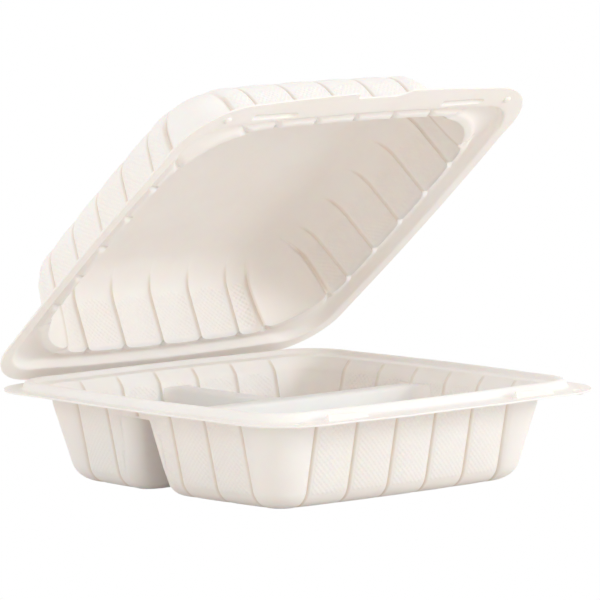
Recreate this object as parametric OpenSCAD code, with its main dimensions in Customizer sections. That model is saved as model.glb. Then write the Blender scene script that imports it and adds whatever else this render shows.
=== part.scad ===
// Hinged food container with three compartments, moulded from one thin plastic sheet.
// The tray stands on its flat floor at z = 0 and the lid is half open behind it.
// x runs along the hinge, the front is at negative y, z is up, all sizes in mm.

/* [Sheet] */
// Thickness of the moulded sheet
sheet_t = 0.8; // [0.7:0.1:1]

/* [Tray] */
// Half the width of the tray where the line of its wall meets the flange, at the ends of a side
tray_half = 82; // [80:0.5:83]
// Height of the flange on its upper face
flange_z = 43.6; // [41:0.2:50]
// Height of the round bead over the flange
bead_h = 4; // [3:0.2:4.2]
// Slope of the tray wall, in degrees from upright
tray_draft = 12.5; // [8:0.5:15]
// Radius of the bend between wall and floor
floor_bend = 10; // [8:0.5:12]
// Squareness of the tray's upright corners, 1 is round
wall_q = 2; // [1:0.05:2.1]

/* [Fluted walls] */
// Distance between two grooves
pitch = 23.4; // [22.4:0.1:23.6]
// How far a panel swells out between its grooves
swell = 1.5; // [0:0.1:1.8]
// How far a whole side bows out in its middle
bow = 2.2; // [0:0.1:3]

/* [Dividers] */
// Height of the divider ridges
ridge_z = 37; // [28:0.5:39]
// Half the width of a ridge at its top
ridge_half = 5.2; // [4:0.1:6]
// Slope of the ridge faces, in degrees from upright
ridge_draft = 9; // [5:0.5:10]
// Place of the long ridge, measured from the middle towards the hinge
ridge_y = 11.75; // [6:0.25:16]
// Radius of the upright corners where ridge and wall meet
ridge_corner = 8; // [6:0.5:10]
// Radius of the bend at the foot of a ridge
ridge_bend = 4.5; // [3:0.5:6]

/* [Flange] */
// Half the width inside the rim, where the wall flares out to it
rim_half = 84.5; // [83.5:0.5:85]
// Half the width of the flange at the ends of a side
flange_half = 103; // [101:0.5:105]
// How much deeper the flange is along the front edge
front_lip = 6.5; // [5:0.5:8]
// How far the front edge bows out in its middle
front_bow = 3.3; // [1:0.1:4]
// Depth of the finger notch in the front edge of the tray
notch = 1.6; // [0.4:0.1:2.4]
// Half the length of the finger notch
notch_half = 25; // [18:0.5:30]
// Length of each latch lug
lug_len = 25.5; // [16:0.5:32]
// Distance of the lug middle from the middle of the front
lug_x = 57; // [50:0.5:62]
// Width of the flange that is left in front of a latch lug
lug_edge = 7; // [5:0.5:8]
// Height of the round stacking nubs at the front corners
nub_h = 1; // [0.6:0.1:1.4]
// Distance of the nubs from the middle of the front
nub_x = 85; // [82:0.5:87]

/* [Lid] */
// How far the lid stands open, in degrees from closed
open_angle = 39; // [0:1:100]
// Height of the lid crown over the lid flange
lid_h = 38.5; // [30:0.5:42]
// Half the width of the lid at the foot of its wall
lid_foot = 86.5; // [84:0.5:87]
// Slope of the lid wall, in degrees from upright
lid_draft = 15.5; // [10:0.5:18]
// Radius of the bend between lid wall and crown
crown_bend = 16; // [12:0.5:17]
// Height of the narrow shelf inside the rim channel of the lid
shelf_w = 2.2; // [2:0.1:2.6]
// How much further the front edge of the lid reaches than the tray
lid_lip = 2.5; // [1:0.5:4]
// Depth of the finger notch in the front edge of the lid
lid_notch = 4; // [1:0.5:5]
// Half the length of the notch in the lid
lid_notch_half = 15; // [10:0.5:20]
// Radius of the folded hinge bead
hinge_r = 1.1; // [0.9:0.1:1.2]

/* [Hidden] */
white = [0.95, 0.93, 0.90];
tray_panels = 5;
lid_panels = 6;
folds = [0, 0.25, 0.75];
corner_steps = 5;
tray_end = tray_panels * pitch / 2;
lid_end = lid_panels * pitch / 2;
crown_end = lid_end - 21;
rim_q = 1.3;
edge_q = 1.05;
edge_bow = [bow * 0.8, 0, bow * 0.8, front_bow];
bend_z = sheet_t + floor_bend;
bend_turn = 90 - tray_draft;
bend_d = tray_half - (flange_z - bend_z + floor_bend * sin(tray_draft)) * tan(tray_draft) - floor_bend * cos(tray_draft);
hinge_y = flange_half + 4.5;
hinge_z = flange_z + 0.15;
lug_y = flange_half + front_lip - lug_edge;
front_y = flange_half + front_lip + front_bow;
shift_y = (front_y - hinge_y - hinge_r) / 2;
lid_gap = 0.3;
slit = 0.01;

// Point of one side: side 0 is right, 1 is the hinge side, 2 is left, 3 is the front.
function on_side(s, u, d) = s == 0 ? [d, u] : s == 1 ? [-u, d] : s == 2 ? [-d, -u] : [u, -d];

// Place along a side with n panels that ends at end; only the outermost panels give way.
function spread(u, n, end) =
    let (k = (n / 2 - 1) * pitch)
        abs(u) <= k ? u : sign(u) * (k + (abs(u) - k) * (end - k) / pitch);

// Points of side s, n panels between its ends; g is how far the panels swell out.
function side_pts(s, d, g, b, n, end) = [
    for (i = [0 : 3 * n])
        let (f = folds[i % 3], u = spread(pitch * (floor(i / 3) + f - n / 2), n, end))
            on_side(s, u, d + b * (1 - pow(u / end, 2)) + (f == 0 ? 0 : g))
];

// Points of the corner after side s; q above 1 makes the corner squarer.
function corner_pts(s, d0, d1, g, q, end) =
    let (a = on_side(s, end, d0), e = on_side((s + 1) % 4, -end, d1), v = on_side(s, d1 + g, d0 + g))
        [for (i = [1 : corner_steps])
            let (t = 90 * i / (corner_steps + 1))
                v + (a - v) * pow(1 - sin(t), q) + (e - v) * pow(1 - cos(t), q)];

// One closed outline at height z: d and b are the half widths and bows of the four sides.
function outline(z, d, g, b, q, n, end) = [
    for (s = [0 : 3])
        for (p = concat(side_pts(s, d[s], g, b[s], n, end), corner_pts(s, d[s], d[(s + 1) % 4], g, q, end)))
            [p[0], p[1], z]
];

function same(d) = [d, d, d, d];

// Rings of the tray wall, of the lid wall, of the rim on both, and of the outer edge.
function tray_ring(z, d, g, b) = outline(z, same(d), g, same(b), wall_q, tray_panels, tray_end);
function lid_ring(z, d, g, b, end) = outline(z, same(d), g, same(b), rim_q, lid_panels, end);
function rim_ring(z, d, n) = outline(z, same(d), 0, same(bow), rim_q, n, lid_end);
function edge_ring(z, d, n) = outline(z, d, 0, edge_bow, edge_q, n, lid_end);

// Solid through a list of rings that all have the same number of points.
module loft(rings) {
    n = len(rings[0]);
    m = len(rings);
    points = [for (r = rings) each r];
    walls = [
        for (j = [0 : m - 2], i = [0 : n - 1])
            each [
                [j * n + i, (j + 1) * n + i, j * n + (i + 1) % n],
                [j * n + (i + 1) % n, (j + 1) * n + i, (j + 1) * n + (i + 1) % n]
            ]
    ];
    first = [for (i = [0 : n - 1]) i];
    last = [for (i = [n - 1 : -1 : 0]) (m - 1) * n + i];
    polyhedron(points = points, faces = concat([first], walls, [last]), convexity = 12);
}

// Half width of the food side of the tray wall at height z.
function tray_d(z) = tray_half - (flange_z - z) * tan(tray_draft);

// Half width of the food side at height z, where the bend to the floor counts too.
function wall_d(z) =
    z > bend_z - floor_bend * cos(bend_turn)
        ? tray_d(z)
        : bend_d + sqrt(max(0, pow(floor_bend, 2) - pow(bend_z - z, 2)));

// Wall and floor of the tray from the middle outwards, on the food side (o = 0) or outside (o = 1).
function tray_rings(o) =
    let (t = o * sheet_t, r = floor_bend + t)
        [
            for (k = [0 : 3])
                let (a = bend_turn * k / 3)
                    tray_ring(bend_z - r * cos(a), bend_d + r * sin(a), swell * k * 0.27, bow),
            tray_ring(flange_z * 0.6, tray_d(flange_z * 0.6) + t, swell, bow),
            tray_ring(flange_z - 4.5, tray_d(flange_z - 4.5) + t, swell * 0.8, bow)
        ];

// Profile of the rim from the wall out: distance past the wall, height over the flange.
rim_line = [
    [1.3, 1.2],
    [6.3, 1.6],
    [8, bead_h * 0.95],
    [9.2, bead_h],
    [10.4, bead_h * 0.93],
    [11.4, bead_h * 0.55],
    [12, 0]
];

// Half widths of the flange, side by side; the front one is deeper.
function flange_d(e) = [flange_half + e, hinge_y - hinge_r, flange_half + e, flange_half + front_lip + e];

// Rim and flange of the tray, upper face from the wall outwards.
function tray_rim_up() = concat(
    [for (r = rim_line) rim_ring(flange_z + r[1], rim_half + r[0], tray_panels)],
    [edge_ring(flange_z, flange_d(0), tray_panels)]
);

// How far the under face of the rim lies in from its upper face: sideways and down.
rim_in = [
    [0.7, 0.75],
    [0.5, 0.8],
    [0.7, 0.6],
    [0, 0.8],
    [-0.5, 0.75],
    [-0.8, 0.5],
    [-0.8, 0.8]
];

// The same rim on its under face, also from the wall outwards.
function tray_rim_down() = concat(
    [
        for (i = [0 : len(rim_line) - 1])
            let (x = rim_half + rim_line[i][0] + rim_in[i][0] * sheet_t / 0.8)
                rim_ring(flange_z + rim_line[i][1] - rim_in[i][1] * sheet_t / 0.8, x, tray_panels)
    ],
    [edge_ring(flange_z - sheet_t, flange_d(-0.2), tray_panels)]
);

function backwards(list) = [for (i = [len(list) - 1 : -1 : 0]) list[i]];

// Points of an arc around c.
function arc(c, r, a0, a1, n = 5) = [
    for (i = [0 : n])
        let (a = a0 + (a1 - a0) * i / n)
            c + r * [cos(a), sin(a)]
];

// Plan of the two ridges as one tee: a and b half widths, rc corner at walls, rt at the joint.
function tee(a, b, rc, rt, xw, yw) =
    let (
        far = 97,
        left = concat(
            arc([-(xw - rc), ridge_y + a + rc], rc, 190, 270),
            arc([-(b + rt), ridge_y + a + rt], rt, 270, 360),
            arc([-(b + rc), yw - rc], rc, 0, 80)
        ),
        front = arc([-(xw - rc), ridge_y - a - rc], rc, 170, 90),
        y_in = left[0][1],
        x_in = left[len(left) - 1][0],
        y_out = front[0][1],
        top = concat([[-far, y_in]], left, [[x_in, far]]),
        low = concat([[-far, y_out]], front)
    )
        concat(low, [for (p = backwards(low)) [-p[0], p[1]]], [for (p = top) [-p[0], p[1]]], backwards(top));

// Half width of the ridges at height z, with the bend into the floor.
function ridge_a(z) = ridge_half + (ridge_z - 1 - z) * tan(ridge_draft);

// Tee ring at height z with half width a; o = 1 moves it in by the sheet for the hollow.
function tee_ring(z, a, o) =
    let (t = o * sheet_t, w = wall_d(z) + bow * 0.95 + t)
        [for (p = tee(a - t, a - t, ridge_corner + t, 7 + t, w, w)) [p[0], p[1], z]];

// Ridges of the dividers; o = 0 is the food side, o = 1 the hollow under it.
module ridges(o) {
    dz = o * sheet_t;
    foot = ridge_a(ridge_bend + 1);
    loft([
        tee_ring(o == 0 ? sheet_t * 0.4 : -1, foot + ridge_bend * 0.85, o),
        tee_ring(sheet_t - dz, foot + ridge_bend * 0.85, o),
        tee_ring(sheet_t - dz + ridge_bend * 0.14, foot + ridge_bend * 0.45, o),
        tee_ring(sheet_t - dz + ridge_bend * 0.42, foot + ridge_bend * 0.16, o),
        tee_ring(ridge_bend + 1, foot, o),
        tee_ring(ridge_z - 1 - dz, ridge_half, o),
        tee_ring(ridge_z - dz, ridge_half - 1.2, o)
    ]);
}

// Outside of the tray as a plain solid, used to end the ridges at the walls.
module tray_block() {
    loft(concat(tray_rings(1), [tray_ring(flange_z + 0.4, tray_half + sheet_t, swell * 0.6, bow)]));
}

// Bare sheet of the tray: floor, fluted wall, hollow bead and flange.
module tray_sheet() {
    loft(concat(tray_rings(1), tray_rim_down(), backwards(tray_rim_up()), backwards(tray_rings(0))));
}

// One latch lug on the front flange, a low bar with a wedge at its left end.
module lug(x) {
    hull() {
        translate([x - lug_len / 2, -lug_y - 1.2, flange_z - 0.3])
            cube([lug_len, 2.4, 0.5]);
        translate([x - lug_len / 2 + 3, -lug_y - 0.6, flange_z + 1.6])
            cube([lug_len - 4, 1.4, 0.2]);
    }
}

// Folded bead of the hinge between x0 and x1.
module hinge_bead(x0, x1) {
    hull() {
        for (x = [x0, x1])
            translate([x, hinge_y, hinge_z])
                rotate([0, 90, 0])
                    cylinder(h = 0.5, r = hinge_r, center = true, $fn = 16);
        translate([x0, hinge_y - hinge_r - 0.4, flange_z - sheet_t + 0.1])
            cube([x1 - x0, 0.2, sheet_t - 0.2]);
    }
}

// Round nub on the flange at both front corners; g makes it larger all round.
module nubs(g) {
    for (x = [-nub_x, nub_x])
        translate([x, -lug_y, -slit])
            hull() {
                cylinder(h = nub_h / 2, r = 2 + g, $fn = 12);
                cylinder(h = nub_h + g + slit, r = 1.2 + g, $fn = 12);
            }
}

module tray_in_place() {
    difference() {
        union() {
            tray_sheet();
            intersection() {
                ridges(0);
                tray_block();
            }
            for (x = [-lug_x, lug_x])
                lug(x);
            for (i = [-2 : 2])
                hinge_bead(i * 30 - 13, i * 30 + 13);
            translate([0, 0, flange_z])
                nubs(0);
        }
        ridges(1);
        translate([-notch_half, -front_y - 1, flange_z - 2 * sheet_t])
            cube([2 * notch_half, notch + 1, 3 * sheet_t]);
    }
}

module base_tray() {
    color(white)
        translate([0, shift_y, 0])
            tray_in_place();
}

// Centre and turn of the bend between lid wall and crown.
crown_turn = 90 - lid_draft;
crown_z = lid_h - sheet_t - crown_bend;
crown_d = lid_foot - (crown_z + crown_bend * sin(lid_draft) - shelf_w) * tan(lid_draft) - crown_bend * cos(lid_draft);

// Half width of the lid wall on the food side at height w over the lid flange.
function lid_d(w) = lid_foot - (w - shelf_w) * tan(lid_draft);

// Half widths of the lid flange; along the hinge it stops short of the hinge bead.
lid_edge = [flange_half + 0.3, hinge_y - hinge_r - 0.5, flange_half + 0.3, flange_half + front_lip + lid_lip];

// Rim of the lid over the rim of the tray, from the wall foot out to the flange.
lid_line = [
    [rim_half + rim_line[1][0] - 0.4, shelf_w],
    [rim_half + rim_line[2][0] - 0.5, bead_h + 0.1],
    [rim_half + rim_line[3][0], bead_h + 0.4],
    [rim_half + rim_line[4][0] + 0.5, bead_h + 0.1],
    [rim_half + rim_line[5][0] + 0.7, bead_h * 0.6],
    [rim_half + rim_line[6][0] + 0.7, 0]
];
lid_out = [-0.6, -0.6, 0, 0.6, 0.8, 0.8];

// Under face of the lid (o = 0) or its outside (o = 1), from the crown outwards.
function lid_rings(o) =
    let (t = o * sheet_t, r = crown_bend + t, mid = lid_h * 0.3)
        concat(
            [
                for (k = [0 : 3])
                    let (a = crown_turn * k / 3)
                        lid_ring(crown_z + r * cos(a), crown_d + r * sin(a), swell * k / 3, bow, crown_end + k * 3),
                lid_ring(mid, lid_d(mid) + t, swell, bow, lid_end - 4),
                lid_ring(shelf_w + t, lid_foot + t * 0.8, swell * 0.7, bow, lid_end)
            ],
            [for (i = [0 : len(lid_line) - 1]) rim_ring(lid_line[i][1] + t, lid_line[i][0] + t * lid_out[i], lid_panels)]
        );

// Bare sheet of the lid in its closed place.
module lid_sheet() {
    edges = [edge_ring(0, lid_edge, lid_panels), edge_ring(sheet_t, lid_edge, lid_panels)];
    loft(concat(lid_rings(0), edges, backwards(lid_rings(1))));
}

// Small rib across the inner wall of the rim channel at a groove of side s.
module nib(s, u) {
    p = on_side(s, u, lid_line[0][0] - 0.7 + bow * (1 - pow(u / lid_end, 2)));
    hull() {
        translate([p[0], p[1], shelf_w - 0.3])
            cylinder(h = 0.5, r = 1.1, $fn = 4);
        translate([p[0], p[1], bead_h])
            cylinder(h = 0.5, r = 0.7, $fn = 4);
    }
}

// Latch pocket of the lid over a lug, a hollow bar on the flange.
module pocket(x, grow) {
    y = -lug_y;
    hull() {
        translate([x - lug_len / 2 - 0.6 - grow, y - 1.6 - grow, -slit])
            cube([lug_len + 1.2 + 2 * grow, 3.2 + 2 * grow, 0.6]);
        translate([x - lug_len / 2 + 2 - grow, y - 1 - grow, 1.9 + grow])
            cube([lug_len - 2 + 2 * grow, 2.2 + 2 * grow, 0.2]);
    }
}

module lid_closed() {
    difference() {
        union() {
            lid_sheet();
            for (x = [-lug_x, lug_x])
                translate([0, 0, slit])
                    pocket(x, sheet_t);
            translate([0, 0, 2 * slit])
                nubs(0.3 + sheet_t);
            for (s = [0 : 3], i = [0 : lid_panels])
                nib(s, -lid_end + i * pitch);
        }
        for (x = [-lug_x, lug_x])
            pocket(x, 0);
        nubs(0.3);
        translate([-lid_notch_half, -front_y - lid_lip - 1, -sheet_t])
            cube([2 * lid_notch_half, lid_notch + 1, 3 * sheet_t]);
    }
}

module lid() {
    color(white)
        translate([0, hinge_y + shift_y, hinge_z])
            rotate([-open_angle, 0, 0])
                translate([0, -hinge_y, flange_z + lid_gap - hinge_z])
                    lid_closed();
}

base_tray();
lid();
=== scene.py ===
# %% [markdown]
# A hinged food container
#
# The object is a takeaway container with three compartments. Tray and lid are drawn in a mould
# from one thin sheet of filled plastic, so every wall is the same sheet, less than a millimetre
# thick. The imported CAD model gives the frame: where the tray stands, where the hinge lies and
# how far the lid is open. This script dresses that frame with finer sheets and their finish.

# %% The frame
import math

import bmesh
import bpy
from mathutils import Matrix, Vector


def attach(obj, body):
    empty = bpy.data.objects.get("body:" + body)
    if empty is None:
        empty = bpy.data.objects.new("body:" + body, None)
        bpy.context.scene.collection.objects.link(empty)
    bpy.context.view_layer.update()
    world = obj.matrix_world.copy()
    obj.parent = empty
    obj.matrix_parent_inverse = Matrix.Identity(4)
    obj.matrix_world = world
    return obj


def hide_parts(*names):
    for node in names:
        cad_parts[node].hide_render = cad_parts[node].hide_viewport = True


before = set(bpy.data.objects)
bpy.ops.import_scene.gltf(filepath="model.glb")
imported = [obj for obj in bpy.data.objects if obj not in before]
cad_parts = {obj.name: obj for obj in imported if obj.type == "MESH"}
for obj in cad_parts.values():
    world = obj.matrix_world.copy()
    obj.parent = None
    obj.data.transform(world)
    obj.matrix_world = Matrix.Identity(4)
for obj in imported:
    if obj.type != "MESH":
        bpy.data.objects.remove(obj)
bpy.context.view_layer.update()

# %% [markdown]
# The camera
#
# A product shot like this is taken with a long lens from well away, so edges that are parallel
# on the object stay nearly parallel in the picture. The camera stands to the front left and a
# little above the rim. Its turn, tilt and distance are named numbers, and its three axes are
# worked out from them, which also gives the small roll that the picture has.

# %% Camera
CAMERA_TURN = -40.87
CAMERA_TILT = 6.13
CAMERA_ROLL = -0.665
CAMERA_AWAY = 2.5
CAMERA_ASIDE = 0.00217
CAMERA_RAISE = 0.08531
SENSOR = 36.0
LENS = 5360.56 / 600 * SENSOR

turn, tilt, roll = (math.radians(a) for a in (CAMERA_TURN, CAMERA_TILT, CAMERA_ROLL))
back = Vector((math.sin(turn) * math.cos(tilt), -math.cos(turn) * math.cos(tilt), math.sin(tilt)))
level = Vector((math.cos(turn), math.sin(turn), 0))
upward = back.cross(level)
side_axis = math.cos(roll) * level + math.sin(roll) * upward
up_axis = -math.sin(roll) * level + math.cos(roll) * upward
eye = back * CAMERA_AWAY + side_axis * CAMERA_ASIDE + up_axis * CAMERA_RAISE + Vector((0, 0.0021, -0.0012))

camera_data = bpy.data.cameras.new("camera")
camera_data.lens = LENS
camera_data.sensor_width = SENSOR
camera_data.clip_end = 20
camera = bpy.data.objects.new("camera", camera_data)
bpy.context.scene.collection.objects.link(camera)
axes = Matrix((side_axis, up_axis, back)).transposed()
camera.matrix_world = Matrix.Translation(eye) @ axes.to_4x4()
bpy.context.scene.camera = camera
print("lens", round(LENS, 1), "mm, camera at", [round(v, 3) for v in eye])

# %% [markdown]
# The sizes
#
# These are the same sizes as in the CAD source, in millimetres. The two halves are described by
# outlines: at each height the sheet runs once round the container, along four slightly bowed
# sides and four corners. Everything else, from the floor bend to the flange, is a list of such
# outlines. Keeping the numbers together here means that the look never drifts from the frame.
# Only the crown bend and the upright corners differ from the source, as the photograph has them.

# %% Sizes in millimetres
SHEET = 0.8
PITCH = 23.4
SWELL = 1.5
BOW = 2.2
TRAY_HALF = 82.0
FLANGE_Z = 43.6
TRAY_DRAFT = math.radians(12.5)
FLOOR_BEND = 10.0
RIM_HALF = 84.5
BEAD = 4.0
FLANGE_HALF = 103.0
FRONT_LIP = 6.5
FRONT_BOW = 3.3
HINGE_Y = FLANGE_HALF + 4.5
HINGE_Z = FLANGE_Z + 0.15
HINGE_R = 1.1
SHIFT_Y = 2.1
LID_GAP = 0.3
OPEN_ANGLE = math.radians(39)
LID_H = 38.5
LID_FOOT = 86.5
LID_DRAFT = math.radians(15.5)
CROWN_BEND = 18.0
SHELF = 2.2
LID_LIP = 2.5
TRAY_PANELS = 5
LID_PANELS = 6
TRAY_END = TRAY_PANELS * PITCH / 2
TRAY_SWELL = 1.05
TRAY_DEPTH = 1.35
LID_END = LID_PANELS * PITCH / 2
MM = 0.001
print("tray", 2 * FLANGE_HALF, "mm wide, lid open", round(math.degrees(OPEN_ANGLE)), "degrees")

# %% [markdown]
# One outline
#
# A point on a side is given by its place along that side and its distance from the middle of the
# container. Groups of points crowd together at the grooves, because that is where the sheet
# turns sharply, and thin out over the wide panels. Each point also carries measures that the
# later steps need: the direction that points straight out of the container there, how far it is
# from the nearest groove, how far across its panel it lies, its place along the side, and how
# strongly it swells and is creased. Corners are plain quarter circles of the ring's own radius.

# %% Outlines
PANEL_STEPS = (0, 0.014, 0.03, 0.05, 0.08, 0.13, 0.21, 0.32, 0.44, 0.56, 0.68, 0.79, 0.87, 0.92, 0.95, 0.97, 0.986)
CORNER_STEPS = 22
CORNER_SWELL = 2.2
LAST_PANEL_TURN = math.radians(18)


def on_side(side, along, out):
    return ((out, along), (-along, out), (-out, -along), (along, -out))[side]


def panel_end(ring, panels, half):
    """Where the outermost groove of a side lies; it gives way only where the corner is wide."""
    full = panels * PITCH / 2
    radius = ring["corner"]
    return min(full, half - radius + radius * math.sin(LAST_PANEL_TURN))


def corner_point(side, f, ring, half, next_half, end):
    """A point round the corner after a side, its outward direction and the length of the whole way."""
    radius = ring["corner"]
    first, second = Vector(on_side(side, 0, 1)), Vector(on_side((side + 1) % 4, 0, 1))
    middle = first * (half - radius) + second * (next_half - radius)
    lead, tail = next_half - radius - end, half - radius - end
    start = math.asin(max(-1.0, min(1.0, -lead / radius))) if lead < 0 else 0.0
    stop = math.pi / 2 - (math.asin(max(-1.0, min(1.0, -tail / radius))) if tail < 0 else 0.0)
    lead, tail = max(lead, 0.0), max(tail, 0.0)
    way = lead + radius * (stop - start) + tail
    run = f * way
    if run < lead:
        return first * half + second * (end + run), first, way
    if run > way - tail:
        return second * next_half + first * (end + way - run), second, way
    angle = start + (run - lead) / radius
    out = first * math.cos(angle) + second * math.sin(angle)
    return middle + out * radius, out, way


def outline(ring, panels):
    """One closed outline, with its outward direction and its measures at each point."""
    points = []
    halves = (ring["side"], ring["hinge"], ring["side"], ring["front"])
    bows = (ring["bow"], ring["bow_hinge"], ring["bow"], ring["bow_front"])
    radius = ring["corner"]
    full = panels * PITCH / 2
    end = panel_end(ring, panels, min(halves))
    inner = (panels / 2 - 1) * PITCH
    for side in range(4):
        half, bow = halves[side], bows[side]
        next_half, last_half = halves[(side + 1) % 4], halves[(side + 3) % 4]
        stops = [max(-end, min(end, PITCH * (i - panels / 2))) for i in range(panels + 1)]
        for start, stop in zip(stops, stops[1:]):
            for step in PANEL_STEPS:
                along = start + (stop - start) * step
                turn_in = abs(along) - ((next_half if along > 0 else last_half) - radius)
                drop = radius - math.sqrt(max(0.0, radius ** 2 - turn_in ** 2)) if turn_in > 0 else 0.0
                lean = math.asin(min(1.0, turn_in / radius)) if turn_in > 0 else 0.0
                bowed = bow * (1 - (along / full) ** 2) * math.cos(lean)
                x, y = on_side(side, along, half - drop + bowed)
                ox, oy = on_side(side, math.copysign(math.sin(lean), along), math.cos(lean))
                near = min(step, 1 - step) * (stop - start)
                shallow = panels == LID_PANELS and abs(along) > inner + PITCH / 2
                points.append((x, y, ox, oy, near, abs(2 * step - 1), along, 1.0, 0.6 if shallow else 1.0))
        for i in range(CORNER_STEPS):
            f = i / CORNER_STEPS
            p, out, way = corner_point(side, f, ring, half, next_half, end)
            near = min(f, 1 - f) * way
            bulge, creasing = (CORNER_SWELL, 1.2) if panels == TRAY_PANELS else (1.0, 0.6)
            points.append((p.x, p.y, out.x, out.y, near, abs(2 * f - 1), full + near, bulge, creasing))
    return points


# %% [markdown]
# From outlines to a sheet
#
# The profile of the sheet is a short list of knots, each with its height, its distance out and
# how strongly it is fluted. Cutting the corners of that list a few times turns it into a soft
# curve, as a drawn sheet has, because plastic never follows a mould into a sharp corner. The
# second face of the sheet is the same curve moved sideways by the thickness of the sheet.

# %% Profiles
KEYS = ("side", "hinge", "front", "z", "flute", "crease", "gap", "corner", "bow", "bow_hinge", "bow_front")


def knot(out, z, corner, flute=0.0, crease=0.0, gap=0.0):
    """A knot of the profile whose outline is the same on all four sides."""
    return dict(side=out, hinge=out, front=out, z=z, flute=flute, crease=crease, gap=gap, corner=corner,
                bow=BOW, bow_hinge=BOW, bow_front=BOW)


def edge_knot(side, hinge, front, z, corner):
    """A knot on the flange, whose four sides reach out by different amounts."""
    return dict(side=side, hinge=hinge, front=front, z=z, flute=0.0, crease=0.0, gap=0.0, corner=corner,
                bow=BOW * 0.8, bow_hinge=0.0, bow_front=FRONT_BOW)


def mix_knots(a, b, t):
    return {k: a[k] + (b[k] - a[k]) * t for k in KEYS}


def soften(knots, rounds=3):
    """Cuts the corners of a profile, keeping its two ends."""
    for _ in range(rounds):
        cut = [knots[0]]
        for a, b in zip(knots, knots[1:]):
            cut += [mix_knots(a, b, 0.25), mix_knots(a, b, 0.75)]
        knots = cut + [knots[-1]]
    return knots


def thin_out(knots, least):
    """Drops knots that lie closer together than the least distance."""
    kept = [knots[0]]
    for k in knots[1:-1]:
        if math.hypot(k["side"] - kept[-1]["side"], k["z"] - kept[-1]["z"]) >= least:
            kept.append(k)
    return kept + [knots[-1]]


def shift_face(knots, thickness):
    """The other face of the sheet, moved square to the profile by its thickness."""
    moved = []
    for i, k in enumerate(knots):
        a, b = knots[max(i - 1, 0)], knots[min(i + 1, len(knots) - 1)]
        run, rise = b["side"] - a["side"], b["z"] - a["z"]
        length = math.hypot(run, rise) or 1.0
        dx, dz = rise / length * thickness, -run / length * thickness
        new = dict(k)
        for name in ("side", "hinge", "front"):
            new[name] = k[name] + dx
        new["z"] = k["z"] + dz
        moved.append(new)
    return moved


# %% [markdown]
# The mesh of a sheet
#
# The outlines are joined by rows of four-sided faces. Floor and crown are closed by a few rings
# that shrink towards the middle, so that no face is a giant polygon. The four measures of each
# point are stored on the mesh as named attributes: Geometry Nodes read them to press in the
# grooves, and the material reads them again to place the embossing on the panels.

# %% Sheet mesh
FIELDS = ("to_groove", "across", "along", "flute", "crease", "gap", "rise")


def sheet_mesh(name, knots, panels):
    rings, values = [], []

    def add_ring(k, scale, fluted=True):
        ring = []
        for x, y, ox, oy, near, across, along, swelling, creasing in outline(k, panels):
            ring.append((x * scale, y * scale, k["z"]))
            flute, crease = (k["flute"] * swelling, k["crease"] * creasing) if fluted else (0.0, 0.0)
            values.append((near, across, along, flute, crease, k["gap"], k["z"], ox, oy))
        rings.append(ring)

    for scale in (0.02, 0.35, 0.7, 0.93):
        add_ring(knots[0], scale, False)
    for k in knots:
        add_ring(k, 1)
    for scale in (0.93, 0.7, 0.35, 0.02):
        add_ring(knots[-1], scale, False)
    count = len(rings[0])
    verts = [(x * MM, y * MM, z * MM) for ring in rings for x, y, z in ring]
    faces = []
    for j in range(len(rings) - 1):
        for i in range(count):
            n = (i + 1) % count
            faces.append((j * count + i, j * count + n, (j + 1) * count + n, (j + 1) * count + i))
    faces.append(tuple(range(count))[::-1])
    faces.append(tuple((len(rings) - 1) * count + i for i in range(count)))
    mesh = bpy.data.meshes.new(name)
    mesh.from_pydata(verts, [], faces)
    for index, field in enumerate(FIELDS):
        layer = mesh.attributes.new(field, "FLOAT", "POINT")
        layer.data.foreach_set("value", [v[index] for v in values])
    layer = mesh.attributes.new("outward", "FLOAT_VECTOR", "POINT")
    layer.data.foreach_set("vector", [c for v in values for c in (v[7], v[8], 0.0)])
    bm = bmesh.new()
    bm.from_mesh(mesh)
    bmesh.ops.recalc_face_normals(bm, faces=bm.faces)
    bm.to_mesh(mesh)
    bm.free()
    piece = bpy.data.objects.new(name, mesh)
    bpy.context.scene.collection.objects.link(piece)
    return piece


# %% [markdown]
# Node maths that reads like maths
#
# Both Geometry Nodes and materials are graphs of small sums. Wiring every sum by hand hides what
# it means, so this small class wraps a socket and lets Python's own signs add the Math nodes.
# The same class serves the grooves and the plastic.

# %% Sockets with signs
class Wire:
    """A socket of a node tree that can be used in plain sums."""

    def __init__(self, tree, socket):
        self.tree, self.socket = tree, socket

    def node(self, kind, settings=None, out=0, **inputs):
        """Adds any node: its settings first, then the values or links of its sockets."""
        return add_node(self.tree, kind, settings, out, **inputs)

    def math(self, operation, *others):
        made = self.tree.nodes.new("ShaderNodeMath")
        made.operation = operation
        for slot, value in enumerate((self,) + others):
            if isinstance(value, Wire):
                self.tree.links.new(value.socket, made.inputs[slot])
            else:
                made.inputs[slot].default_value = value
        return Wire(self.tree, made.outputs[0])

    def __add__(self, other): return self.math("ADD", other)
    def __radd__(self, other): return self.math("ADD", other)
    def __sub__(self, other): return self.math("SUBTRACT", other)
    def __rsub__(self, other): return (self * -1.0).math("ADD", other)
    def __mul__(self, other): return self.math("MULTIPLY", other)
    def __rmul__(self, other): return self.math("MULTIPLY", other)
    def __truediv__(self, other): return self.math("DIVIDE", other)
    def __neg__(self): return self.math("MULTIPLY", -1.0)

    def sine(self): return self.math("SINE")
    def size(self): return self.math("ABSOLUTE")
    def most(self, other): return self.math("MAXIMUM", other)

    def ramp(self, low, high):
        """0 below low and 1 above high, with a soft passage."""
        return add_node(self.tree, "ShaderNodeMapRange", {"interpolation_type": "SMOOTHSTEP"}, 0,
                        Value=self, From_Min=low, From_Max=high)


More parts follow.
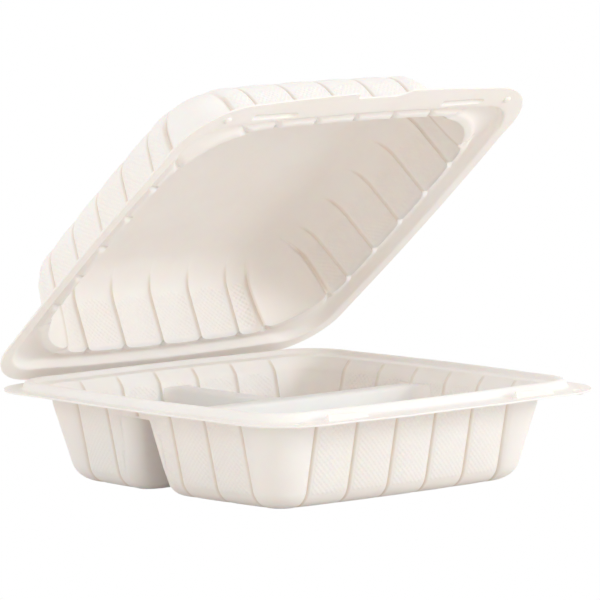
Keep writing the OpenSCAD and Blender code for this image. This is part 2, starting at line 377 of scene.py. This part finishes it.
def add_node(tree, kind, settings=None, out=0, **inputs):
    made = tree.nodes.new(kind)
    for name, value in (settings or {}).items():
        setattr(made, name, value)
    for name, value in inputs.items():
        socket = made.inputs[int(name[1:])] if name[0] == "i" and name[1:].isdigit() else made.inputs[name.replace("_", " ")]
        if isinstance(value, Wire):
            tree.links.new(value.socket, socket)
        else:
            socket.default_value = value
    return Wire(tree, made.outputs[out])


# %% [markdown]
# Pressing in the grooves
#
# The walls are stiffened by upright grooves, and the panels between them swell out a little.
# Modelling every groove by hand would be slow and hard to change. Instead a small Geometry Nodes
# tree moves each point outwards by a rule: a broad crown over the panel plus a quick rise beside
# the groove, so that the groove itself stays behind. On the lid a third rule lifts the shelf
# beside the rim where a groove crosses it.

# %% Flute tree
def flute_tree(name):
    tree = bpy.data.node_groups.new(name, "GeometryNodeTree")
    face = tree.interface
    face.new_socket("Geometry", in_out="INPUT", socket_type="NodeSocketGeometry")
    for label, value in (("Panel swell", 0.6), ("Crease depth", 0.9), ("Crease width", 0.8), ("Shelf lift", 0.0)):
        face.new_socket(label, in_out="INPUT", socket_type="NodeSocketFloat").default_value = value
    face.new_socket("Finish", in_out="INPUT", socket_type="NodeSocketMaterial")
    face.new_socket("Geometry", in_out="OUTPUT", socket_type="NodeSocketGeometry")
    given = tree.nodes.new("NodeGroupInput")
    inputs = {s.name: Wire(tree, s) for s in given.outputs if s.name}

    def field(label, kind="FLOAT"):
        return add_node(tree, "GeometryNodeInputNamedAttribute", {"data_type": kind}, 0, Name=label)

    near, across = field("to_groove"), field("across")
    crease = 1 - (near / (inputs["Crease width"] * -1.0)).math("EXPONENT")
    crown = 1 - across * across
    push = crown * inputs["Panel swell"] * field("flute") + crease * inputs["Crease depth"] * field("crease")
    lift = (near * near * -0.55).math("EXPONENT") * inputs["Shelf lift"] * field("gap")
    outward = field("outward", "FLOAT_VECTOR")
    aside = add_node(tree, "ShaderNodeVectorMath", {"operation": "SCALE"}, 0, i0=outward, Scale=push * MM)
    height = add_node(tree, "ShaderNodeCombineXYZ", None, 0, Z=lift * MM)
    offset = add_node(tree, "ShaderNodeVectorMath", {"operation": "ADD"}, 0, i0=aside, i1=height)
    moved = add_node(tree, "GeometryNodeSetPosition", None, 0, Geometry=inputs["Geometry"], Offset=offset)
    real = add_node(tree, "GeometryNodeRealizeInstances", None, 0, Geometry=moved)
    done = add_node(tree, "GeometryNodeSetMaterial", None, 0, Geometry=real, Material=inputs["Finish"])
    result = tree.nodes.new("NodeGroupOutput")
    tree.links.new(done.socket, result.inputs[0])
    return tree


def run_tree(piece, tree, **values):
    """Runs a tree on a piece and keeps the result as its plain mesh."""
    modifier = piece.modifiers.new("rule", "NODES")
    modifier.node_group = tree
    for item in tree.interface.items_tree:
        if item.in_out == "INPUT" and item.name.replace(" ", "_") in values:
            modifier[item.identifier] = values[item.name.replace(" ", "_")]
    bpy.context.view_layer.update()
    seen = piece.evaluated_get(bpy.context.evaluated_depsgraph_get())
    mesh = bpy.data.meshes.new_from_object(seen)
    piece.modifiers.remove(modifier)
    piece.data = mesh
    return piece


# %% [markdown]
# Joining and cutting
#
# Dividers, lugs and notches are small closed bodies. Boolean modifiers weld them to the sheet or
# cut them out of it, and the result is kept as a plain mesh. The helper takes a list, so that
# each step in the making stays one readable line.

# %% Boolean helper
def weld(piece, others, operation):
    for other in others:
        modifier = piece.modifiers.new("join", "BOOLEAN")
        modifier.operation = operation
        modifier.solver = "MANIFOLD"
        modifier.object = other
    bpy.context.view_layer.update()
    seen = piece.evaluated_get(bpy.context.evaluated_depsgraph_get())
    mesh = bpy.data.meshes.new_from_object(seen)
    piece.modifiers.clear()
    piece.data = mesh
    for other in others:
        bpy.data.objects.remove(other)
    print(piece.name, operation.lower(), len(mesh.polygons), "faces")
    return piece


def solid(name, verts, faces):
    mesh = bpy.data.meshes.new(name)
    mesh.from_pydata([tuple(c * MM for c in v) for v in verts], [], faces)
    bm = bmesh.new()
    bm.from_mesh(mesh)
    bmesh.ops.recalc_face_normals(bm, faces=bm.faces)
    bm.to_mesh(mesh)
    bm.free()
    piece = bpy.data.objects.new(name, mesh)
    bpy.context.scene.collection.objects.link(piece)
    return piece


def loft(name, rings):
    """A closed body through rings that all have the same number of points."""
    count = len(rings[0])
    verts = [p for ring in rings for p in ring]
    faces = []
    for j in range(len(rings) - 1):
        for i in range(count):
            n = (i + 1) % count
            faces.append((j * count + i, j * count + n, (j + 1) * count + n, (j + 1) * count + i))
    faces.append(tuple(range(count))[::-1])
    faces.append(tuple((len(rings) - 1) * count + i for i in range(count)))
    return solid(name, verts, faces)


def prism(name, plan, low, high):
    """A body with upright sides over a plan."""
    return loft(name, [[(x, y, low) for x, y in plan], [(x, y, high) for x, y in plan]])


# %% [markdown]
# The tray's sheet
#
# Its profile starts in the middle of the floor, bends up into the sloping wall, flares out under
# the rim, runs over a narrow ledge and the round bead that stiffens the rim, and ends in the flat
# flange. The food side is drawn first and the underside follows it at the thickness of the sheet.

# %% Tray profile
def wall_out(z):
    return TRAY_HALF - (FLANGE_Z - z) * math.tan(TRAY_DRAFT)


bend_z = SHEET + FLOOR_BEND
bend_turn = math.pi / 2 - TRAY_DRAFT
bend_out = wall_out(bend_z) - FLOOR_BEND * math.sin(TRAY_DRAFT) * math.tan(TRAY_DRAFT) - FLOOR_BEND * math.cos(TRAY_DRAFT)


def wall_at(z):
    """Half width of the food side at height z, where the bend to the floor counts too."""
    if z > bend_z - FLOOR_BEND * math.cos(bend_turn):
        return wall_out(z)
    return bend_out + math.sqrt(max(0.0, FLOOR_BEND ** 2 - (bend_z - z) ** 2))


tray_knots = []
for step in range(9):
    a = bend_turn * step / 8
    tray_knots.append(knot(bend_out + FLOOR_BEND * math.sin(a), bend_z - FLOOR_BEND * math.cos(a),
                           6 + step, flute=0.15 + 0.85 * step / 8, crease=0.3 + 0.7 * step / 8))
for z in (16, 22, 28, 33, 37):
    tray_knots.append(knot(wall_out(z), z, 14, flute=1.0, crease=1.0))
tray_knots.append(knot(wall_out(40) + 0.3, 40, 15, flute=0.75, crease=0.95))
RIM_LINE = ((0.9, 43.9, 0.35, 0.6), (2.2, 44.9, 0.05, 0.1), (6.4, 45.2, 0, 0), (7.3, 46.2, 0, 0), (8.1, 47.4, 0, 0),
            (9.3, 47.7, 0, 0), (10.6, 47.3, 0, 0), (11.3, 45.8, 0, 0), (11.8, 43.9, 0, 0), (12.6, 43.6, 0, 0))
for out, z, flute, crease in RIM_LINE:
    tray_knots.append(knot(RIM_HALF + out, z, 18 + out * 0.3, flute=flute, crease=crease))
tray_edge = (FLANGE_HALF, HINGE_Y - HINGE_R, FLANGE_HALF + FRONT_LIP)
EDGE_CORNER = 29
half_way = mix_knots(tray_knots[-1], edge_knot(*tray_edge, FLANGE_Z, EDGE_CORNER), 0.55)
tray_knots += [half_way, edge_knot(*tray_edge, FLANGE_Z, EDGE_CORNER)]
tray_food = thin_out(soften(tray_knots, 2), 0.42)
tray_under = shift_face(tray_food, SHEET)
tray_under[-1]["z"] = FLANGE_Z - SHEET
print("tray profile", len(tray_food), "outlines a face")

# %% Tray sheet
tray_rule = flute_tree("tray fluting")
tray_piece = sheet_mesh("tray_moulding", tray_food + tray_under[::-1], TRAY_PANELS)
run_tree(tray_piece, tray_rule, Panel_swell=TRAY_SWELL, Crease_depth=TRAY_DEPTH, Crease_width=0.9)
print("tray sheet", len(tray_piece.data.polygons), "faces")

# %% [markdown]
# The dividers
#
# Two hollow ridges part the tray, a long one across and a short one to the hinge, so in plan they
# make a tee. They are the same sheet as the rest, pushed up from below. The plan is drawn once
# with rounded inner corners and lofted twice: once as the food side, welded to the tray, and
# once a sheet's thickness further in, cut away as the hollow beneath.

# %% Divider plan
RIDGE_Z = 37.0
RIDGE_HALF = 5.2
RIDGE_DRAFT = math.radians(9)
RIDGE_Y = 11.75
RIDGE_CORNER = 8.0
RIDGE_BEND = 4.5
FAR = 97.0


def arc(cx, cy, radius, start, stop, steps=12):
    turns = [math.radians(start + (stop - start) * i / steps) for i in range(steps + 1)]
    return [(cx + radius * math.cos(a), cy + radius * math.sin(a)) for a in turns]


def tee(a, b, corner, joint, xw, yw):
    left = arc(-(xw - corner), RIDGE_Y + a + corner, corner, 184, 270)
    left += arc(-(b + joint), RIDGE_Y + a + joint, joint, 270, 360)
    left += arc(-(b + corner), yw - corner, corner, 0, 86)
    front = arc(-(xw - corner), RIDGE_Y - a - corner, corner, 176, 90)
    top = [(-FAR, left[0][1])] + left + [(left[-1][0], FAR)]
    low = [(-FAR, front[0][1])] + front
    return low + [(-x, y) for x, y in low[::-1]] + [(-x, y) for x, y in top] + top[::-1]


def ridge_half(z):
    return RIDGE_HALF + (RIDGE_Z - 1 - z) * math.tan(RIDGE_DRAFT)


foot = ridge_half(RIDGE_BEND + 1)
ridge_line = [(SHEET, foot + RIDGE_BEND * 0.85), (SHEET + 0.25, foot + RIDGE_BEND * 0.62),
              (SHEET + 0.7, foot + RIDGE_BEND * 0.42), (SHEET + 1.6, foot + RIDGE_BEND * 0.2),
              (SHEET + 3.0, foot + RIDGE_BEND * 0.06), (RIDGE_BEND + 1.5, ridge_half(RIDGE_BEND + 1.5)),
              (15, ridge_half(15)), (25, ridge_half(25)), (RIDGE_Z - 2.2, ridge_half(RIDGE_Z - 2.2)),
              (RIDGE_Z - 1.1, RIDGE_HALF - 0.1), (RIDGE_Z - 0.4, RIDGE_HALF - 0.6), (RIDGE_Z, RIDGE_HALF - 1.6)]


def pushed(flute, crease):
    """How far a panel of the tray stands out beside a ridge."""
    return 0.9 * TRAY_SWELL * flute + TRAY_DEPTH * crease


def tee_ring(z, a, hollow):
    t = hollow * SHEET
    f = min(1.0, math.acos(max(-1.0, min(1.0, (bend_z - z) / FLOOR_BEND))) / bend_turn)
    w = wall_at(z) + BOW * 0.96 + pushed(0.15 + 0.85 * f, 0.3 + 0.7 * f) + 0.1 + t
    return [(x, y, z - t) for x, y in tee(a - t, a - t, RIDGE_CORNER + t, 7 + t, w, w)]


def ridge_rings(hollow, low):
    """All rings of the ridges, over a copy of the first one at the height low."""
    rings = [tee_ring(z, a, hollow) for z, a in ridge_line]
    return [[(x, y, low) for x, y, _ in rings[0]]] + rings


# %% Dividers welded in
outside = [dict(k) for k in tray_under[:-1] if k["z"] < FLANGE_Z - 2 and k["side"] < RIM_HALF + 1]
block_rings = []
for k in outside:
    grow = 0.75 * pushed(k["flute"], k["crease"])
    wider = {**k, **{edge: k[edge] + grow for edge in ("side", "hinge", "front")}}
    block_rings.append([(x, y, k["z"]) for x, y, *_ in outline(wider, TRAY_PANELS)])
block = loft("tray_block", block_rings)
ridge = loft("ridge_food", ridge_rings(0, 0.0))
hollow = loft("ridge_hollow", ridge_rings(1, -2.0))
weld(ridge, [block], "INTERSECT")
weld(tray_piece, [ridge], "UNION")
weld(tray_piece, [hollow], "DIFFERENCE")

# %% [markdown]
# Latch lugs, hinge beads and the finger notch
#
# Two long wedge-shaped lugs stand on the front flange and snap into pockets of the lid. At the
# back the sheet is folded over into a row of beads, which is the hinge. Small domes of the lid
# sit in dimples near the front corners, and a shallow notch in the front edge lets a finger reach
# under the lid. All of them are small bodies with few faces, welded or cut as the dividers were.

# %% Small parts of the tray
LUG_X = 57.0
LUG_LEN = 25.5
LUG_Y = FLANGE_HALF + FRONT_LIP - 7
LUG_H = 3.1
NUB_X, NUB_Y = 85.0, 102.0


def lug_body(name, x, grow, low, lug_h):
    """A bar with a steep end on the left and a long slope on the right."""
    left, right = x - LUG_LEN / 2 - grow, x + LUG_LEN / 2 + grow
    wide, top = 1.9 + grow, 0.35 + grow
    rings = []
    for px, h, half in ((left, 0.02, wide), (left + 0.8, lug_h * 0.97, top), (left + 2.5, lug_h, top * 1.1),
                        (right - 7, lug_h * 0.8, top * 1.1), (right - 2, lug_h * 0.45, top), (right, 0.02, top)):
        rings.append([(px, -LUG_Y - wide, low), (px, -LUG_Y - half, low + 0.1 + h + grow),
                      (px, -LUG_Y + half, low + 0.1 + h + grow), (px, -LUG_Y + wide, low)])
    return loft(name, rings)


def bead_body(x0, x1):
    """One folded bead of the hinge, with a short web that runs into the edge of the flange."""
    web = HINGE_Y - HINGE_R - 0.5
    rings = []
    for x, r in ((x0 - 0.4, HINGE_R * 0.55), (x0, HINGE_R * 0.95), (x0 + 0.6, HINGE_R), (x1 - 0.6, HINGE_R),
                 (x1, HINGE_R * 0.95), (x1 + 0.4, HINGE_R * 0.55)):
        fold = [(x, HINGE_Y + r * math.cos(a), HINGE_Z + r * math.sin(a)) for a in
                (math.radians(15 * i - 90) for i in range(13))]
        rings.append(fold + [(x, web, FLANGE_Z - 0.15), (x, web, FLANGE_Z - SHEET + 0.15)])
    return loft("bead", rings)


def dome_body(x, radius, top, depth):
    """A small round dome that hangs down from the height top."""
    rings = []
    for share, drop in ((1.0, 0.0), (0.95, 0.3), (0.8, 0.65), (0.55, 0.9), (0.2, 1.0)):
        rings.append([(x + radius * share * math.cos(a), -NUB_Y + radius * share * math.sin(a), top - depth * drop)
                      for a in (math.tau * i / 24 for i in range(24))])
    return loft("dome", rings)


weld(tray_piece, [lug_body("lug", x, 0, FLANGE_Z - 0.3, LUG_H) for x in (-LUG_X, LUG_X)], "UNION")
weld(tray_piece, [bead_body(i * 30 - 13.3, i * 30 + 13.3) for i in range(-2, 3)], "UNION")
notch_plan = [(-25, -125), (-25, -112.3), (-24.2, -111.4), (0, -111.1), (22.5, -111.3), (26, -112.4), (26, -125)]
weld(tray_piece, [dome_body(x, 3.4, FLANGE_Z - 0.1, 2.1) for x in (-NUB_X, NUB_X)], "UNION")
weld(tray_piece, [dome_body(x, 2.6, FLANGE_Z + 0.1, 1.5) for x in (-NUB_X, NUB_X)], "DIFFERENCE")
weld(tray_piece, [prism("notch", notch_plan, FLANGE_Z - 2, FLANGE_Z + 2)], "DIFFERENCE")

# %% [markdown]
# The lid's sheet
#
# The lid is drawn in its closed place first, where all its measures are plain, and turned about
# the hinge afterwards. Its profile runs from the flat crown over a wide bend down the fluted
# wall, along a narrow shelf, over the channel that grips the tray's bead, and out to the flange.

# %% Lid profile
crown_turn = math.pi / 2 - LID_DRAFT
crown_z = LID_H - SHEET - CROWN_BEND
crown_out = (LID_FOOT - (crown_z + CROWN_BEND * math.sin(LID_DRAFT) - SHELF) * math.tan(LID_DRAFT)
             - CROWN_BEND * math.cos(LID_DRAFT))


def lid_wall(w):
    return LID_FOOT - (w - SHELF) * math.tan(LID_DRAFT)


lid_knots = []
for step in range(10):
    f = step / 9
    a = crown_turn * f
    lid_knots.append(knot(crown_out + CROWN_BEND * math.sin(a), crown_z + CROWN_BEND * math.cos(a),
                          12 + 20 * f, flute=min(1.0, 1.3 * f), crease=max(0.0, 1.5 * f - 0.5)))
for w, corner in ((18, 34), (14, 35), (10, 36), (6.5, 36.5)):
    lid_knots.append(knot(lid_wall(w), w, corner, flute=1.0, crease=1.0))
lid_knots.append(knot(LID_FOOT - 0.2, SHELF + 1.2, 37, flute=0.8, crease=0.9))
LID_LINE = ((2.2, SHELF, 37, 0.5, 0.6, 0.5), (3.6, SHELF - 0.05, 37, 0.1, 0.3, 1.0), (6.2, SHELF - 0.05, 37, 0, 0, 1.0),
            (6.7, 3.2, 36, 0, 0, 0.6), (7.6, 4.25, 33, 0, 0, 0), (9.2, 4.5, 27, 0, 0, 0), (10.9, 4.2, 22, 0, 0, 0),
            (12.0, 2.4, 21, 0, 0, 0), (12.5, 0.4, 21, 0, 0, 0), (13.3, 0, 22, 0, 0, 0))
for out, w, corner, flute, crease, gap in LID_LINE:
    lid_knots.append(knot(RIM_HALF + out, w, corner, flute=flute, crease=crease, gap=gap))
lid_edge = (FLANGE_HALF + 0.3, HINGE_Y - HINGE_R - 0.5, FLANGE_HALF + FRONT_LIP + LID_LIP)
lid_knots += [mix_knots(lid_knots[-1], edge_knot(*lid_edge, 0, 31), 0.55), edge_knot(*lid_edge, 0, 31)]
lid_food = thin_out(soften(lid_knots, 2), 0.42)
lid_outer = shift_face(lid_food, -SHEET)
lid_outer[-1]["z"] = SHEET
print("lid profile", len(lid_food), "outlines a face")

# %% Lid sheet
lid_rule = flute_tree("lid fluting")
lid_piece = sheet_mesh("lid_moulding", lid_food + lid_outer[::-1], LID_PANELS)
run_tree(lid_piece, lid_rule, Panel_swell=1.15, Crease_depth=1.45, Crease_width=0.9, Shelf_lift=2.3)
print("lid sheet", len(lid_piece.data.polygons), "faces")

# %% [markdown]
# Pockets and notch of the lid
#
# The lugs of the tray need pockets in the lid's flange. They are made as the moulder makes them:
# a bump on top with a hollow a sheet's thickness inside it. The finger notch of the lid has a
# crisp step on one side and a soft slope on the other, which the photograph shows clearly.

# %% Lid details
pocket_h = LUG_H + 0.25
weld(lid_piece, [lug_body("pocket_skin", x, SHEET + 0.3, 0.02, pocket_h) for x in (-LUG_X, LUG_X)], "UNION")
weld(lid_piece, [lug_body("pocket_hollow", x, 0.3, -0.4, pocket_h) for x in (-LUG_X, LUG_X)], "DIFFERENCE")
weld(lid_piece, [dome_body(x, 2.2, 0.3, 1.4) for x in (-NUB_X, NUB_X)], "UNION")
weld(lid_piece, [dome_body(x, 1.4, SHEET + 0.1, 1.2) for x in (-NUB_X, NUB_X)], "DIFFERENCE")
lid_notch = [(-14.3, -130), (-14.2, -112.6), (-13.4, -111.5), (9, -111.3), (13, -112.0), (16, -113.6), (18.5, -115.2), (21, -130)]
weld(lid_piece, [prism("lid_notch", lid_notch, -2, 3)], "DIFFERENCE")

# %% [markdown]
# Placing both halves
#
# The tray only moves to its place in the frame. The lid is turned about the hinge line by the
# angle at which it stands open. The turn goes into the mesh itself, so that the object stays at
# the origin as the frame expects.

# %% Placing
to_middle = Matrix.Translation((0, SHIFT_Y * MM, 0))
tray_piece.data.transform(to_middle)
hinge_point = Matrix.Translation((0, (HINGE_Y + SHIFT_Y) * MM, HINGE_Z * MM))
to_hinge = Matrix.Translation((0, -HINGE_Y * MM, (FLANGE_Z + LID_GAP - HINGE_Z) * MM))
lid_place = hinge_point @ Matrix.Rotation(-OPEN_ANGLE, 4, "X") @ to_hinge
lid_piece.data.transform(lid_place)
for piece in (tray_piece, lid_piece):
    piece.data.update()
    piece.data.polygons.foreach_set("use_smooth", [True] * len(piece.data.polygons))
    piece.data.set_sharp_from_angle(angle=math.radians(38))
    print(piece.name, sum(len(p.vertices) - 2 for p in piece.data.polygons), "triangles")

# %% [markdown]
# The plastic
#
# Mineral-filled plastic is matt and slightly see-through: light enters the sheet, scatters and
# comes out warmer, most of all where walls face each other. The base colour is therefore a warm
# off-white with a little light let into it. The panels carry a fine diamond embossing. It is too
# fine for geometry, so it is a bump whose height is a product of two sine waves, one along and
# one up the wall, held inside each panel by a mask with a rounded top. The smooth edges of the
# panels and the corners stay plain, and the grooves get a darker base colour: painted shade for
# the shadow that gathers in their narrow folds.

# %% Moulded plastic
EMBOSSING = 2.6
DARKER_SHEET = (0.92, 0.885, 0.855, 1)
PALER_SHEET = (0.94, 0.915, 0.89, 1)
# colour of the painted shade that is laid into the grooves
PAINTED_GROOVE_SHADE = (0.72, 0.64, 0.57, 1)


def plastic(name, panel_low, panel_high, last):
    made = bpy.data.materials.new(name)
    made.use_nodes = True
    tree = made.node_tree
    tree.nodes.clear()

    def field(label):
        return add_node(tree, "ShaderNodeAttribute", {"attribute_name": label}, 2)

    across, near, along = field("across"), field("to_groove"), field("along")
    rise, crease = field("rise"), field("crease")
    inside = near.ramp(1.6, 2.6)
    round_top = rise.ramp(panel_low, panel_low + 1.2) * (rise + across * across * 5.0).ramp(panel_high + 0.6, panel_high - 0.6)
    panel = inside * round_top * crease.ramp(0.4, 0.55) * along.size().ramp(last + 0.8, last + 0.1)
    step = math.tau / EMBOSSING
    diamonds = (along * step).sine() * (rise * step).sine()
    place = add_node(tree, "ShaderNodeTexCoord", None, 3)
    grain = add_node(tree, "ShaderNodeTexNoise", None, 0, Vector=place, Scale=900.0, Detail=3.0)
    cloud = add_node(tree, "ShaderNodeTexNoise", None, 0, Vector=place, Scale=22.0, Detail=4.0)
    height = diamonds * panel * 0.2 + panel * 0.2 + grain * 0.02 + cloud * 0.05
    bump = add_node(tree, "ShaderNodeBump", None, 0, Strength=0.55, Distance=0.001, Height=height)
    sheet = add_node(tree, "ShaderNodeMix", {"data_type": "RGBA"}, 2, Factor=cloud.ramp(0.35, 0.7),
                     i6=DARKER_SHEET, i7=PALER_SHEET)
    # painted shade: the base colour darkens in the narrow grooves, standing in for the shadow that falls into them
    groove = near.ramp(1.5, 0.25) * crease.ramp(0.15, 0.7)
    tint = add_node(tree, "ShaderNodeMix", {"data_type": "RGBA"}, 2, Factor=groove * 0.6, i6=sheet,
                    i7=PAINTED_GROOVE_SHADE)
    rough = 0.46 + cloud * 0.12 + panel * 0.06
    shader = add_node(tree, "ShaderNodeBsdfPrincipled", None, 0, Base_Color=tint, Roughness=rough, Normal=bump)
    socket = shader.socket.node.inputs
    socket["IOR"].default_value = 1.45
    socket["Subsurface Weight"].default_value = 0.5
    socket["Subsurface Radius"].default_value = (1.0, 0.55, 0.35)
    socket["Subsurface Scale"].default_value = 0.003
    output = tree.nodes.new("ShaderNodeOutputMaterial")
    tree.links.new(shader.socket, output.inputs["Surface"])
    return made


tray_finish = plastic("tray plastic", 6.0, 39.0, TRAY_END)
lid_finish = plastic("lid plastic", 5.0, 27.0, LID_END)
for piece, finish, node, slot, body in ((tray_piece, tray_finish, "base_tray", "tray_sheet", "tray"),
                                        (lid_piece, lid_finish, "lid", "lid_sheet", "lid")):
    piece.data.materials.clear()
    piece.data.materials.append(finish)
    piece.data.polygons.foreach_set("material_index", [0] * len(piece.data.polygons))
    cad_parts[node].data.materials.clear()
    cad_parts[node].data.materials.append(finish)
    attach(piece, body)
    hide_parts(node)

# %% [markdown]
# Floor, backdrop and light
#
# The container stands on a white table in front of a white wall. The camera sees pure white
# there, which is the colour of paper in print, while the object is lit gently enough that its
# own off-white never clips. A broad key lamp stands to the right of the camera and a weaker one
# to the left, and the sky gives the rest.

# %% Stage
def white_stage(name):
    made = bpy.data.materials.new(name)
    made.use_nodes = True
    tree = made.node_tree
    tree.nodes.clear()
    path = tree.nodes.new("ShaderNodeLightPath")
    seen = Wire(tree, path.outputs["Is Camera Ray"]).most(Wire(tree, path.outputs["Is Glossy Ray"])).most(
        Wire(tree, path.outputs["Is Transmission Ray"]))
    paper = add_node(tree, "ShaderNodeBsdfDiffuse", None, 0, Color=(0.86, 0.83, 0.8, 1))
    glow = add_node(tree, "ShaderNodeEmission", None, 0, Color=(1, 1, 1, 1), Strength=1.0)
    both = add_node(tree, "ShaderNodeMixShader", None, 0, i0=seen, i1=paper, i2=glow)
    output = tree.nodes.new("ShaderNodeOutputMaterial")
    tree.links.new(both.socket, output.inputs["Surface"])
    return made


floor_mesh = bpy.data.meshes.new("floor")
floor_mesh.from_pydata([(-4, -4, 0), (4, -4, 0), (4, 4, 0), (-4, 4, 0)], [], [(0, 1, 2, 3)])
floor = bpy.data.objects.new("floor", floor_mesh)
bpy.context.scene.collection.objects.link(floor)
floor_mesh.materials.append(white_stage("white table"))

world = bpy.data.worlds.new("sky")
bpy.context.scene.world = world
world.use_nodes = True
sky = world.node_tree
sky.nodes.clear()
path = sky.nodes.new("ShaderNodeLightPath")
seen = Wire(sky, path.outputs["Is Camera Ray"])
fill = add_node(sky, "ShaderNodeBackground", None, 0, Color=(1.0, 0.965, 0.94, 1), Strength=0.89)
paper = add_node(sky, "ShaderNodeBackground", None, 0, Color=(1, 1, 1, 1), Strength=1.0)
both = add_node(sky, "ShaderNodeMixShader", None, 0, i0=seen, i1=fill, i2=paper)
output = sky.nodes.new("ShaderNodeOutputWorld")
sky.links.new(both.socket, output.inputs["Surface"])


def lamp(name, place, size, power, colour):
    data = bpy.data.lights.new(name, "AREA")
    data.shape = "SQUARE"
    data.size = size
    data.energy = power
    data.color = colour
    made = bpy.data.objects.new(name, data)
    made.location = place
    made.rotation_euler = (Vector((0, 0, 0.06)) - Vector(place)).to_track_quat("-Z", "Y").to_euler()
    bpy.context.scene.collection.objects.link(made)
    return made


lamp("key lamp", (1.1, -1.9, 0.7), 0.7, 15.5, (0.985, 0.99, 1.0))
lamp("left lamp", (-2.1, 0.4, 0.9), 0.9, 6, (0.975, 0.98, 1.0))
bpy.context.scene.view_settings.view_transform = "Standard"
